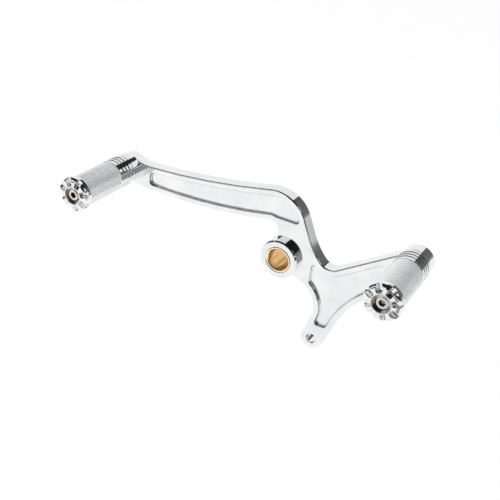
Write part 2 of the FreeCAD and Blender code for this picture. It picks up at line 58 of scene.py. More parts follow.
# %% [markdown]
# The camera stands in front of the lever, to the right and above, and is rolled a few degrees, as a
# hand-held camera is. Its place, its turn and its lens were fitted to the photograph, so that the
# pivot, both pegs and the rod hole fall where it shows them. A lens of 57 mm on a 36 mm sensor is the
# same field of view as the photograph's.

# %% Set up the camera
camera_place = (204.95 * mm, -451.75 * mm, 289.55 * mm)
camera_turn_degrees = (59.8254, -5.1720, 30.0667)
camera_lens = 57.0312
camera_sensor = 36.0

camera_data = bpy.data.cameras.new("photo_camera")
camera_data.sensor_width = camera_sensor
camera_data.lens = camera_lens
camera = bpy.data.objects.new("photo_camera", camera_data)
camera.location = camera_place
camera.rotation_euler = [math.radians(turn) for turn in camera_turn_degrees]
bpy.context.scene.collection.objects.link(camera)
bpy.context.scene.camera = camera
print("camera", round(Vector(camera_place).length / mm), "mm from the pivot")

# %% [markdown]
# Every finish below is a metal, so each starts from one Principled shader with Metallic at 1, and the
# bronze and the satin grip turn that down. What tells the metals apart is their colour, how rough they
# are, and the fine relief that is left by polishing or by a lathe. Object coordinates are the frame's
# own metres, so a noise scale of 1000 means features about a millimetre wide.

# %% Start a metal
def add_node(material, kind, **settings):
    node = material.node_tree.nodes.new(kind)
    for setting, value in settings.items():
        setattr(node, setting, value)
    return node


def join(material, source, target):
    material.node_tree.links.new(source, target)


def start_metal(name):
    material = bpy.data.materials.new(name)
    material.use_nodes = True
    shader = material.node_tree.nodes["Principled BSDF"]
    shader.inputs["Metallic"].default_value = 1.0
    place = add_node(material, "ShaderNodeTexCoord")
    return material, shader, place.outputs["Object"]


print("metals start from a Principled shader")

# %% [markdown]
# A finish is a chain of small nodes. Each helper below adds one link of that chain and gives back its
# output: a noise, a row of shades, a number brought to another range, how far back a spot lies, a blend
# of two colours, or how open a spot is to the room. The last one turns a height into fine relief.

# %% Links for a finish
nook_samples = 16


def noise_of(material, place, scale, detail):
    noise = add_node(material, "ShaderNodeTexNoise")
    noise.inputs["Scale"].default_value = scale
    noise.inputs["Detail"].default_value = detail
    join(material, place, noise.inputs["Vector"])
    return noise.outputs["Fac"]


def shades_of(material, amount, *stops):
    ramp = add_node(material, "ShaderNodeValToRGB")
    points = ramp.color_ramp.elements
    while len(points) < len(stops):
        points.new(0.5)
    for point, (where, colour) in zip(points, stops):
        point.position = where
        point.color = (*colour, 1.0)
    join(material, amount, ramp.inputs["Fac"])
    return ramp.outputs["Color"]


def range_of(material, amount, low, high, start=0.0, end=1.0):
    spread = add_node(material, "ShaderNodeMapRange")
    spread.inputs["From Min"].default_value = start
    spread.inputs["From Max"].default_value = end
    spread.inputs["To Min"].default_value = low
    spread.inputs["To Max"].default_value = high
    join(material, amount, spread.inputs["Value"])
    return spread.outputs["Result"]


def depth_of(material, place):
    parts = add_node(material, "ShaderNodeSeparateXYZ")
    join(material, place, parts.inputs["Vector"])
    return parts.outputs["Y"]


def blend_of(material, amount, first, second):
    blend = add_node(material, "ShaderNodeMix", data_type="RGBA")
    # the colour sockets come after the ones for numbers and vectors
    join(material, amount, blend.inputs[0])
    for colour, socket in ((first, blend.inputs[6]), (second, blend.inputs[7])):
        if isinstance(colour, tuple):
            socket.default_value = (*colour, 1.0)
        else:
            join(material, colour, socket)
    return blend.outputs[2]


def openness_of(material, distance):
    nook = add_node(material, "ShaderNodeAmbientOcclusion", samples=nook_samples, only_local=True)
    nook.inputs["Distance"].default_value = distance
    return nook.outputs["AO"]


def relief_of(material, height, shader, strength, depth):
    bump = add_node(material, "ShaderNodeBump")
    bump.inputs["Strength"].default_value = strength
    bump.inputs["Distance"].default_value = depth
    join(material, height, bump.inputs["Height"])
    join(material, bump.outputs["Normal"], shader.inputs["Normal"])


print("a nook is looked at with", nook_samples, "rays")

# %% [markdown]
# Polished chrome is nearly a mirror. Plating over a hand-buffed billet is never quite even: the colour
# drifts a little between warm white and blue, the buffing leaves faint hazy patches, and long low waves
# bend the reflections. Two noises of different size make the haze and the waves. Behind the front face
# the narrow places, such as the corners of the pockets, are painted dark as shade, where little of the
# room is in sight.

# %% Polished chrome
cool_chrome = (0.755, 0.77, 0.78)
warm_chrome = (0.868, 0.87, 0.866)
# painted shade for the narrow places behind the front face
painted_shade_black = (0.06, 0.06, 0.06)


def make_polished_chrome():
    chrome, shader, place = start_metal("polished_chrome")
    drift = noise_of(chrome, place, scale=55.0, detail=5.0)
    tint = shades_of(chrome, drift, (0.32, cool_chrome), (0.68, warm_chrome))
    # painted shade: darker where little of the room is in sight, only behind the front face
    openness = openness_of(chrome, distance=2.5 * mm)
    painted_corner_shade = range_of(chrome, openness, low=1.0, high=0.0, start=0.45, end=0.85)
    depth = depth_of(chrome, place)
    below_face = range_of(chrome, depth, low=0.0, high=1.0, start=0.15 * mm, end=0.7 * mm)
    painted_shade_amount = add_node(chrome, "ShaderNodeMath", operation="MULTIPLY")
    join(chrome, painted_corner_shade, painted_shade_amount.inputs[0])
    join(chrome, below_face, painted_shade_amount.inputs[1])
    shaded = blend_of(chrome, painted_shade_amount.outputs["Value"], tint, painted_shade_black)
    join(chrome, shaded, shader.inputs["Base Color"])
    haze = noise_of(chrome, place, scale=260.0, detail=5.0)
    join(chrome, range_of(chrome, haze, low=0.03, high=0.10), shader.inputs["Roughness"])
    waves = noise_of(chrome, place, scale=75.0, detail=1.0)
    relief_of(chrome, waves, shader, strength=0.12, depth=0.4 * mm)
    return chrome


polished_chrome = make_polished_chrome()
print("polished chrome has", len(polished_chrome.node_tree.nodes), "nodes")

# %% [markdown]
# The bush is bronze, reamed inside and faced on its front. A lathe tool leaves fine rings, so a wave
# texture that runs along Y grooves the bore, and a noise darkens it in patches where oil has sat. The
# lower left side of the bore is painted bright as lit and the rest painted brown as shade, and the
# rounded mouth is painted pale cream as a highlight.

# %% Turned bronze
# painted light and shade: the side along this direction is painted bright as lit, the rest brown as
# shade
painted_lit_side = (-0.7071, 0.0, -0.7071)
oiled_bronze = (0.80, 0.45, 0.14)
clean_bronze = (0.93, 0.61, 0.28)
painted_shade_bronze = (0.38, 0.18, 0.045)
# painted highlight for the rounded mouth
painted_mouth_highlight = (1.0, 0.87, 0.64)


def make_turned_bronze():
    bronze, shader, place = start_metal("turned_bronze")
    shader.inputs["Metallic"].default_value = 0.9
    patches = noise_of(bronze, place, scale=130.0, detail=3.0)
    bright = shades_of(bronze, patches, (0.25, oiled_bronze), (0.75, clean_bronze))
    # how far a point lies towards the painted lit side
    side = add_node(bronze, "ShaderNodeVectorMath", operation="DOT_PRODUCT")
    side.inputs[1].default_value = painted_lit_side
    join(bronze, place, side.inputs[0])
    painted_lit_amount = range_of(bronze, side.outputs["Value"], low=0.0, high=1.0, start=4.6 * mm, end=6.6 * mm)
    tint = blend_of(bronze, painted_lit_amount, painted_shade_bronze, bright)
    depth = depth_of(bronze, place)
    past_mouth = range_of(bronze, depth, low=0.0, high=1.0, start=-5.3 * mm, end=-4.3 * mm)
    bronze_with_painted_light = blend_of(bronze, past_mouth, painted_mouth_highlight, tint)
    join(bronze, bronze_with_painted_light, shader.inputs["Base Color"])
    join(bronze, range_of(bronze, patches, low=0.16, high=0.24), shader.inputs["Roughness"])
    tool_rings = add_node(bronze, "ShaderNodeTexWave", bands_direction="Y")
    tool_rings.inputs["Scale"].default_value = 700.0
    tool_rings.inputs["Distortion"].default_value = 0.6
    join(bronze, place, tool_rings.inputs["Vector"])
    relief_of(bronze, tool_rings.outputs["Fac"], shader, strength=0.25, depth=0.03 * mm)
    return bronze


turned_bronze = make_turned_bronze()
print("turned bronze has", len(turned_bronze.node_tree.nodes), "nodes")

# %% [markdown]
# The screws are stainless steel, which looks warm and a little brown beside chrome. Their heads are
# cold formed, so the surface is duller than plating and slightly mottled. The hexagon is painted dark
# brown as shade, wherever little of the open room is in sight.

# %% Screw steel
dark_steel = (0.62, 0.55, 0.48)
light_steel = (0.80, 0.74, 0.68)
# painted shade inside the hexagon socket
painted_socket_shade = (0.05, 0.032, 0.02)


def make_screw_steel():
    steel, shader, place = start_metal("screw_steel")
    mottle = noise_of(steel, place, scale=420.0, detail=4.0)
    tint = shades_of(steel, mottle, (0.25, dark_steel), (0.75, light_steel))
    # painted shade: dark brown where little of the room is in sight
    openness = openness_of(steel, distance=4.0 * mm)
    open_sky = range_of(steel, openness, low=0.0, high=1.0, start=0.30, end=0.80)
    join(steel, blend_of(steel, open_sky, painted_socket_shade, tint), shader.inputs["Base Color"])
    join(steel, range_of(steel, mottle, low=0.16, high=0.30), shader.inputs["Roughness"])
    relief_of(steel, mottle, shader, strength=0.15, depth=0.05 * mm)
    return steel


screw_steel = make_screw_steel()
for name in ("toe_peg_screw", "heel_peg_screw"):
    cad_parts[name].data.materials.clear()
    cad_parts[name].data.materials.append(screw_steel)
print("screw steel on both screws")

# %% [markdown]
# The pegs' grip is chrome too, plated over a knurl. Blasting before plating leaves it satin: it
# scatters the light and looks pale grey, where smooth chrome would mirror the dark side of the room. A
# fine grain stays in it.

# %% Knurled chrome
grey_grip = (0.85, 0.87, 0.88)
pale_grip = (0.97, 0.975, 0.98)


def make_knurled_chrome():
    chrome, shader, place = start_metal("knurled_chrome")
    shader.inputs["Metallic"].default_value = 0.5
    grain = noise_of(chrome, place, scale=1500.0, detail=3.0)
    tint = shades_of(chrome, grain, (0.32, grey_grip), (0.66, pale_grip))
    join(chrome, tint, shader.inputs["Base Color"])
    join(chrome, range_of(chrome, grain, low=0.16, high=0.28), shader.inputs["Roughness"])
    relief_of(chrome, grain, shader, strength=0.12, depth=0.04 * mm)
    return chrome


knurled_chrome = make_knurled_chrome()
print("knurled chrome has", len(knurled_chrome.node_tree.nodes), "nodes")

# %% [markdown]
# The lever is milled from one plate. Its outline is a chain of straight runs and arcs that flow into
# each other without a kink, so it can be told as a walk: go straight for a length, or turn left or
# right on a radius. A mesh made this way has as many points as a mirror finish needs, and the walk also
# gives the exact direction of the edge at each stop, which is what keeps the reflections smooth. The
# CAD solid has the same runs and arcs, so the two agree. Where the turned boss takes over, the plate's
# edge is pulled back into the metal and hides there.

# %% Walk along an outline
arc_step_degrees = 3.0
same_spot = 0.02


def run(length):
    return ("run", length, 0.0, 0.0)


def bend(radius, turn):
    return ("bend", radius, turn, 0.0)


def hidden_bend(radius, turn, pull):
    return ("bend", radius, turn, pull)


def corner(turn):
    return ("corner", 0.0, turn, 0.0)


def left_of(heading):
    return Vector((-math.sin(heading), math.cos(heading)))


def walk(start, heading_degrees, legs):
    here = Vector(start)
    heading = math.radians(heading_degrees)
    stops = []
    fresh = True
    for kind, length, turn, pull in legs:
        if fresh and kind != "corner" and not pull:
            stops.append((here.copy(), heading, 0.0))
        if kind == "run":
            here = here + Vector((math.cos(heading), math.sin(heading))) * length
            stops.append((here.copy(), heading, 0.0))
        elif kind == "corner":
            heading += math.radians(turn)
        else:
            side = math.copysign(length, turn)
            centre = here + left_of(heading) * side
            steps = math.ceil(abs(turn) / arc_step_degrees)
            for step in range(1, steps + 1):
                along = heading + math.radians(turn) * step / steps
                here = centre - left_of(along) * side
                if not pull or step < steps:
                    stops.append((here.copy(), along, pull))
            heading = along
        fresh = pull > 0
    if (stops[-1][0] - stops[0][0]).length < same_spot:
        stops.pop()
    return stops


print("a full circle is walked in", round(360 / arc_step_degrees), "steps")

# %% [markdown]
# The walk starts under the toe end and goes once round with the metal on its left. Lengths are
# millimetres and turns are degrees, with a left turn counted as positive.

# %% The lever's outline
pivot_axis = (0.0, 0.0)
toe_peg_axis = (-138.7, 29.0)
heel_peg_axis = (95.3, 29.0)
rod_axis = (32.4, -58.8)
boss_radius = 14.9
edge_hidden_by = 1.0
outline_start = (-139.5742, 17.5351)
outline_heading = -4.6
outline = walk(outline_start, outline_heading, [
    bend(440.0, 16.594),            # underside of the toe arm
    bend(6.0, -101.994),            # fillet down to the neck
    run(6.047),                     # left side of the neck
    corner(-67.923),
    hidden_bend(boss_radius, 202.345, edge_hidden_by),  # round the boss
    corner(-72.422),
    run(10.088),                    # web under the boss
    bend(20.5, -79.0),              # down to the lug
    run(17.582),                    # left side of the lug
    bend(8.6, 177.4),               # round the rod hole
    run(23.212),                    # right side of the lug
    bend(80.0, -30.4),              # flank
    run(39.766),                    # underside of the heel arm
    bend(11.5, 203.523),            # round the heel end
    bend(5.0, -29.223),             # small fillet
    run(48.555),                    # top of the heel arm
    bend(10.0, -79.3),              # tight bend
    bend(50.0, -20.5),              # easing up into the neck
    run(15.503),                    # right side of the neck
    bend(26.0, 78.417),             # shoulder
    bend(580.0, -10.332),           # long hollow top of the toe arm
    bend(32.0, -27.770),            # sweep up to the toe end
    bend(10.9, 200.585),            # round the toe end
])
print("outline stops:", len(outline))

# %% [markdown]
# Two shallow pockets lighten the arms. A milling cutter runs along the outline at a steady distance,
# which leaves a rim of even width, and turns its own radius at each corner. The pockets are walked like
# the outline.

# %% The two pockets
cutter = 2.8
toe_pocket_start = (-115.6732, 20.5666)
toe_pocket_heading = -1.498
toe_pocket = walk(toe_pocket_start, toe_pocket_heading, [
    bend(435.7, 13.492),            # along the underside
    bend(10.3, -29.403),            # beside the neck's fillet
    bend(cutter, 17.408),
    run(14.934),                    # along the land over the boss
    bend(cutter, 116.236),
    bend(21.7, 76.682),             # inside the shoulder
    bend(584.3, -10.031),           # along the top
    bend(cutter, 87.113),
    run(4.944),                     # across the toe end
    bend(cutter, 88.502),
])
heel_pocket_start = (23.8, 0.0342)
heel_pocket_heading = -90.0
heel_pocket = walk(heel_pocket_start, heel_pocket_heading, [
    run(11.682),                    # down beside the boss
    bend(cutter, 52.274),
    bend(24.8, -69.274),            # inside the hollow above the lug
    run(1.519),                     # left side of the lug
    bend(cutter, 107.0),
    run(3.956),                     # along the land over the rod hole
    bend(cutter, 70.4),
    run(5.906),                     # right side of the lug
    bend(84.3, -30.4),              # flank
    run(16.376),                    # underside of the heel arm
    bend(cutter, 100.654),
    bend(21.0, -21.899),            # round the heel peg's land
    bend(cutter, 95.546),
    run(32.922),                    # top of the heel arm
    bend(14.3, -74.345),            # round the tight bend
    bend(cutter, 130.045),
])
print("pocket stops:", len(toe_pocket), "and", len(heel_pocket))

# %% [markdown]
# Four holes go right through the plate: one for the bush, one for the shift rod and two for the pegs'
# screws. A round hole is a walk too, one bend all the way round. The plate's own edge at the bush is
# pulled back, so that it hides inside the boss.

# %% The holes
bush_radius = 9.525
screw_radius = 3.0
rod_hole_radius = 3.97
hole_hidden_by = 1.975


def round_hole(centre, radius, pull=0.0):
    stops = walk((centre[0] + radius, centre[1]), 90.0, [bend(radius, 360.0)])
    return [(spot, heading, pull) for spot, heading, _ in stops]


pivot_hole = round_hole(pivot_axis, bush_radius, hole_hidden_by)
rod_hole = round_hole(rod_axis, rod_hole_radius)
toe_screw_hole = round_hole(toe_peg_axis, screw_radius)
heel_screw_hole = round_hole(heel_peg_axis, screw_radius)
print("stops round a hole:", len(rod_hole))

# %% [markdown]
# A wall is a stack of rings. Each ring is the same walk, moved into the metal by an inset and set at a
# depth behind the front face, and each of its points carries a normal that tilts from the wall towards
# the face. With the insets and depths taken round a quarter circle, the edge is rolled over, and the
# tilted normals let the chrome run round it without a crease. Buffing has taken a fiftieth of a
# millimetre off the walls.

# %% Stack rings into walls
plate_thickness = 10.5
front_roll = 1.1
back_roll = 0.7
hole_roll = 0.35
roll_steps = 6
buffed = 0.02
air_outside = -1
air_inside = 1
looks_forward = -1
looks_back = 1


def new_shell():
    return {"points": [], "normals": [], "faces": []}


def add_ring(shell, stops, air_side, inset, depth, tilt, facing):
    first = len(shell["points"])
    for spot, heading, pull in stops:
        away = left_of(heading) * air_side
        place = spot - away * (inset + pull)
        shell["points"].append((place.x * mm, depth * mm, place.y * mm))
        flat = math.cos(tilt)
        shell["normals"].append((away.x * flat, facing * math.sin(tilt), away.y * flat))
    return list(range(first, len(shell["points"])))


def bridge(shell, rings):
    for near, far in zip(rings, rings[1:]):
        for place in range(len(near)):
            following = (place + 1) % len(near)
            shell["faces"].append((near[place], near[following], far[following], far[place]))


def roll_into_wall(shell, stops, air_side, wall_inset, roll):
    """Rings from the front face, round a rolled edge, to the wall."""
    rings = []
    for step in range(roll_steps + 1):
        tilt = math.pi / 2 * (1 - step / roll_steps)
        inset = wall_inset + roll * (1 - math.cos(tilt))
        depth = roll * (1 - math.sin(tilt))
        rings.append(add_ring(shell, stops, air_side, inset, depth, tilt, looks_forward))
    return rings


def roll_out_of_wall(shell, stops, air_side, wall_inset, roll, end_depth, facing):
    """Rings from the wall to a back face, or to a pocket's floor, which looks forward."""
    rings = []
    for step in range(roll_steps + 1):
        tilt = math.pi / 2 * step / roll_steps
        inset = wall_inset + facing * roll * (1 - math.cos(tilt))
        depth = end_depth - roll * (1 - math.sin(tilt))
        rings.append(add_ring(shell, stops, air_side, inset, depth, tilt, facing))
    return rings


def through_wall(shell, stops, air_side, front, back):
    rings = roll_into_wall(shell, stops, air_side, buffed, front)
    rings += roll_out_of_wall(shell, stops, air_side, buffed, back, plate_thickness, looks_back)
    bridge(shell, rings)
    return rings[0], rings[-1]


print("edges rolled by", front_roll, "mm in front and", back_roll, "mm behind")

# %% [markdown]
# A pocket's wall starts with a small roll at the rim and ends in a hollow one at the floor, where the
# cutter's rounded tip has passed.

# %% Sink a pocket
pocket_depth = 2.5
pocket_inset = 0.0
rim_roll = 0.5
floor_roll = 0.9


def sink_pocket(shell, stops):
    rings = roll_into_wall(shell, stops, air_inside, pocket_inset, rim_roll)
    rings += roll_out_of_wall(
        shell, stops, air_inside, pocket_inset, floor_roll, pocket_depth, looks_forward)
    bridge(shell, rings)
    return rings[0], rings[-1]


print("pockets", pocket_depth, "mm deep")

# %% [markdown]
# The flat faces are what lies between the rings. A constrained triangulation joins only points that are
# already there, so the faces stay flat up to the rolled edges. A triangle belongs to the face if its
# middle is inside an odd number of loops: inside the outline but not inside a hole.

# %% Fill the flat faces
every_triangle = 0
merge_within = 1e-6


def is_inside(spot, loop):
    inside = False
    for place in range(len(loop)):
        a = loop[place]
        b = loop[place - 1]
        if (a.y > spot.y) != (b.y > spot.y):
            if spot.x < (b.x - a.x) * (spot.y - a.y) / (b.y - a.y) + a.x:
                inside = not inside
    return inside


def fill_face(shell, loops):
    numbers = [number for loop in loops for number in loop]
    flat = [Vector((shell["points"][n][0] / mm, shell["points"][n][2] / mm)) for n in numbers]
    edges = []
    outlines = []
    first = 0
    for loop in loops:
        size = len(loop)
        edges += [(first + place, first + (place + 1) % size) for place in range(size)]
        outlines.append(flat[first:first + size])
        first += size
    spots, _, triangles, origins, _, _ = delaunay_2d_cdt(flat, edges, [], every_triangle, merge_within)
    kept = 0
    for triangle in triangles:
        middle = (spots[triangle[0]] + spots[triangle[1]] + spots[triangle[2]]) / 3
        if sum(is_inside(middle, loop) for loop in outlines) % 2:
            shell["faces"].append(tuple(numbers[origins[spot][0]] for spot in triangle))
            kept += 1
    return kept


outline_spots = [stop[0] for stop in outline]
print("the pivot is inside the outline:", is_inside(Vector(pivot_axis), outline_spots))

# %% [markdown]
# With walls, pockets and faces at hand, the plate is put together: first what goes right through it,
# then the pockets with their floors, and last the front and back faces that join them.

# %% Build the plate
def build_plate():
    plate = new_shell()
    through = [through_wall(plate, outline, air_outside, front_roll, back_roll)]
    for hole in (pivot_hole, rod_hole, toe_screw_hole, heel_screw_hole):
        through.append(through_wall(plate, hole, air_inside, hole_roll, hole_roll))
    fronts = [front for front, back in through]
    for pocket in (toe_pocket, heel_pocket):
        rim, floor = sink_pocket(plate, pocket)
        fronts.append(rim)
        fill_face(plate, [floor])
    print("front face triangles:", fill_face(plate, fronts))
    print("back face triangles:", fill_face(plate, [back for front, back in through]))
    return plate


plate_shell = build_plate()

# %% [markdown]
# The boss, the toe post and the bush are round, so each is a lathe job: draw the half section once,
# soften its corners, and spin it. Softening replaces a corner by a short arc that meets both sides
# squarely, which again gives a true normal at each point.

# %% Turn a half section
turn_columns = 120


def soften(corners):
    profile = []
    for place, (radius, along, roll) in enumerate(corners):
        here = Vector((radius, along))
        before = Vector(corners[place - 1][:2])
        after = Vector(corners[(place + 1) % len(corners)][:2])
        came = (here - before).normalized()
        goes = (after - here).normalized()
        turn = math.atan2(came.x * goes.y - came.y * goes.x, came.dot(goes))
        heading = math.atan2(came.y, came.x)
        side = math.copysign(roll, turn)
        start = here - came * roll * math.tan(abs(turn) / 2)
        centre = start + left_of(heading) * side
        for step in range(roll_steps):
            along_arc = heading + turn * step / (roll_steps - 1)
            profile.append((centre - left_of(along_arc) * side, -left_of(along_arc)))
    return profile


def spin(shell, profile, centre):
    rings = []
    for spot, away in profile:
        ring = []
        for column in range(turn_columns):
            angle = 2 * math.pi * column / turn_columns
            across, up = math.cos(angle), math.sin(angle)
            right = centre[0] + spot.x * across
            height = centre[1] + spot.x * up
            ring.append(len(shell["points"]))
            shell["points"].append((right * mm, spot.y * mm, height * mm))
            shell["normals"].append((away.x * across, away.y, away.x * up))
        rings.append(ring)
    bridge(shell, rings + rings[:1])


print("turned pieces have", turn_columns, "columns")

# %% [markdown]
# The boss stands out on both sides of the plate and is countersunk round the bush. The toe post carries
# the toe peg clear of the arm. Each corner of a section is a radius, a place along Y, and the roll that
# softens it.

# %% Boss and toe post
boss_front = -5.6
boss_back = 16.1
boss_section = [
    (10.375, boss_front, 0.15), (13.9, boss_front, 0.35), (boss_radius, -4.6, 0.35),
    (boss_radius, 15.1, 0.35), (13.9, boss_back, 0.35), (bush_radius, boss_back, 0.05),
    (bush_radius, -4.75, 0.10),
]
post_radius = 11.5
post_front = -8.5
post_foot = 0.6
post_section = [
    (screw_radius, post_front, 0.05), (10.7, post_front, 0.2), (post_radius, -7.7, 0.2),
    (post_radius, post_foot, 0.05), (screw_radius, post_foot, 0.05),
]
boss_shell = new_shell()
spin(boss_shell, soften(boss_section), pivot_axis)
post_shell = new_shell()
spin(post_shell, soften(post_section), toe_peg_axis)
print("boss points:", len(boss_shell["points"]), "post points:", len(post_shell["points"]))

# %% [markdown]
# The shells become one mesh. Blender turns all faces outward, and then the exact normals are written
# over the guessed ones, so that even a long triangle on a flat face mirrors like a flat face.

# %% Make the lever
def make_piece(name, shells, material):
    points, normals, faces = [], [], []
    for shell in shells:
        first = len(points)
        points += shell["points"]
        normals += shell["normals"]
        faces += [tuple(first + number for number in face) for face in shell["faces"]]
    mesh = bpy.data.meshes.new(name)
    mesh.from_pydata(points, [], faces)
    work = bmesh.new()
    work.from_mesh(mesh)
    bmesh.ops.recalc_face_normals(work, faces=work.faces)
    work.to_mesh(mesh)
    work.free()
    mesh.shade_smooth()
    mesh.normals_split_custom_set_from_vertices(normals)
    mesh.materials.append(material)
    piece = bpy.data.objects.new(name, mesh)
    bpy.context.scene.collection.objects.link(piece)
    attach(piece, "root")
    print(name, "has", len(mesh.polygons), "faces")
    return piece


lever = make_piece("lever_polished", [plate_shell, boss_shell, post_shell], polished_chrome)
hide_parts("lever")

# %% [markdown]
# The bush is a plain bronze sleeve pressed in the boss. Its mouth is well rounded, so that a shaft
# finds its way in, and that rounding, painted pale cream as a highlight, is the bright ring that the
# photograph shows.

# %% Make the bush
pivot_bore = 7.9375
bush_section = [
    (8.75, boss_front, 0.55), (bush_radius, boss_front, 0.15), (bush_radius, boss_back, 0.15),
    (8.2, boss_back, 0.2), (pivot_bore, 15.8, 0.2), (pivot_bore, -4.7, 0.55),
]
bush_shell = new_shell()
spin(bush_shell, soften(bush_section), pivot_axis)
bush = make_piece("bush_turned", [bush_shell], turned_bronze)
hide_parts("pivot_bush")

# %% [markdown]
# Each end cap is a thick washer with eight notches milled across its rim. The cutter had a round nose
# and the teeth were buffed afterwards, so each notch is a pale scoop between thin dark lines. Two
# sections say it all: the cap's own, with a radius, a depth behind its front face and a roll at each
# corner, and half of a notch's, with a distance from its middle, a depth and a roll.

# %% The cap's sections
cap_radius = 13.0
cap_back = 6.0
cap_floor = 4.6
cap_hole_radius = 3.3
head_bore_radius = 6.5
buffed_roll = 2.9
cap_section = [
    (cap_hole_radius, cap_back, 0.05), (cap_hole_radius, cap_floor, 0.05),
    (head_bore_radius, cap_floor, 0.2), (head_bore_radius, 0.0, 0.3),
    (11.2, 0.0, buffed_roll), (cap_radius, 1.8, buffed_roll), (cap_radius, cap_back, 0.3),
]
notch_count = 8
notch_turn = math.radians(19.0)
notch_half_width = 2.0
notch_depth = 3.6
notch_root_radius = 7.4
notch_even_from = 8.5
notch_section = [
    (4.0, 0.0, 0.0), (notch_half_width, 0.0, 0.6), (1.75, notch_depth, 1.3), (0.0, notch_depth, 0.0),
]
lip_to_floor = [spot for spot, away in soften(notch_section)[roll_steps:3 * roll_steps]]
print("a notch opens", round(2 * lip_to_floor[0].x, 2), "mm wide at its lips")

# %% [markdown]
# The cap is spun like the boss, but its columns gather in the notches: across a notch they follow the
# cutter's section, and at the notch's inner end the rings do. A point sinks by the product of the two
# shares, so that the scoop closes softly on three sides and runs out open at the rim.

# %% Lay out the cap's columns and rings
tooth_columns = 8
corners_before_rim = 4


def cap_columns(radius):
    """Angle and share of the notch's depth for each column of a ring."""
    reach = max(radius, notch_even_from)
    half = [(math.asin(spot.x / reach), spot.y / notch_depth) for spot in lip_to_floor]
    edge = half[0][0]
    step = 2 * math.pi / notch_count
    columns = []
    for notch in range(notch_count):
        middle = notch_turn + notch * step
        columns += [(middle - angle, share) for angle, share in half]
        columns += [(middle + angle, share) for angle, share in reversed(half)]
        for tooth in range(1, tooth_columns + 1):
            columns.append((middle + edge + (step - 2 * edge) * tooth / (tooth_columns + 1), 0.0))
    return columns


def cap_rings():
    """Radius, depth and share of the notch's depth for each ring."""
    profile = [spot for spot, away in soften(cap_section)]
    rim_from = corners_before_rim * roll_steps
    bore = [(spot.x, spot.y, 0.0) for spot in profile[:rim_from]]
    rim = [(spot.x, spot.y, 1.0) for spot in profile[rim_from:]]
    root_shift = notch_root_radius + notch_half_width
    root = [(root_shift - spot.x, 0.0, spot.y / notch_depth) for spot in lip_to_floor]
    return bore + root + rim


print("cap columns:", len(cap_columns(cap_radius)), "cap rings:", len(cap_rings()))

# %% [markdown]
# The scoops have no simple formula for their normals, so each point takes the average of the faces
# round it. Big faces count for more, which keeps the flat faces flat.

# %% Make the caps
def average_normals(shell):
    sums = [Vector() for point in shell["points"]]
    for a, b, c, d in shell["faces"]:
        corners = [Vector(shell["points"][number]) for number in (a, b, c, d)]
        away = (corners[3] - corners[1]).cross(corners[2] - corners[0])
        for number in (a, b, c, d):
            sums[number] += away
    return [tuple(total.normalized()) for total in sums]


def cap_shell(centre_right, front, centre_up):
    shell = new_shell()
    rings = []
    for radius, depth, reach in cap_rings():
        ring = []
        for angle, share in cap_columns(radius):
            sunk = depth + share * reach * max(0.0, notch_depth - depth)
            ring.append(len(shell["points"]))
            right = centre_right + radius * mm * math.cos(angle)
            up = centre_up + radius * mm * math.sin(angle)
            shell["points"].append((right, front + sunk * mm, up))
        rings.append(ring)
    bridge(shell, rings + rings[:1])
    shell["normals"] = average_normals(shell)
    return shell


for end in ("toe", "heel"):
    low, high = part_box(f"{end}_peg_cap")
    shell = cap_shell((low.x + high.x) / 2, low.y, (low.z + high.z) / 2)
    cap = make_piece(f"{end}_peg_cap_buffed", [shell], polished_chrome)
    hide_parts(f"{end}_peg_cap")

# %% [markdown]
# A diamond knurl is pressed by two wheels, one for each hand of helix. Where their grooves cross there
# is a pit, and between the crossings a small pyramid is left standing. A bump texture could fake it,
# but the outline would stay smooth, so here it is real geometry. Next to the lever each peg has a plain
# collar with three square grooves. The sizes below are in metres, as the frame is.

# %% The peg's sizes
peg_radius = 11.8 * mm
peg_length = 50.5 * mm
bore_radius = 3.3 * mm
groove_centres = (3.5 * mm, 7.0 * mm, 10.5 * mm)
groove_half_width = 0.75 * mm
groove_depth = 1.1 * mm
edge_break = 0.16 * mm
end_bevel = 0.3 * mm
knurl_start = 14.0 * mm
knurl_end = 49.9 * mm
knurl_depth = 0.30 * mm
columns_round = 72
half_pitch_along = 1.02 * mm
print("diamonds round the peg:", columns_round // 2)

# %% [markdown]
# As a list of places along the peg and radii, the collar is a lathe profile: walk along it and each
# corner gets a small edge break, so that the polished rings catch a thin line of light.

# %% The collar's profile
def collar_profile():
    profile = [(0.0, peg_radius - edge_break), (edge_break, peg_radius)]
    for centre in groove_centres:
        left = centre - groove_half_width
        right = centre + groove_half_width
        root = peg_radius - groove_depth
        profile += [(left - edge_break, peg_radius), (left, peg_radius - edge_break)]
        profile += [(left, root + edge_break), (left + edge_break, root)]
        profile += [(right - edge_break, root), (right, root + edge_break)]
        profile += [(right, peg_radius - edge_break), (right + edge_break, peg_radius)]
    profile += [(knurl_start - edge_break, peg_radius), (knurl_start, peg_radius - edge_break)]
    return profile


print("collar corners:", len(collar_profile()))

# %% [markdown]
# The peg is a stack of rings from the lever outward: the collar, the knurl, the bevelled end, and back
# through the bore. On a grid of half pitches the knurl's pits are the points whose column and row are
# both odd or both even, and the other points are the pyramids' tips.

# %% Stack the peg's rings
def ring_of_points(along, radius_at, seat):
    points = []
    for column in range(columns_round):
        angle = 2 * math.pi * column / columns_round
        radius = radius_at(column)
        right = seat.x + radius * math.cos(angle)
        up = seat.z + radius * math.sin(angle)
        points.append((right, seat.y - along, up))
    return points


def knurl_rows():
    return int((knurl_end - knurl_start) / half_pitch_along) // 2 * 2


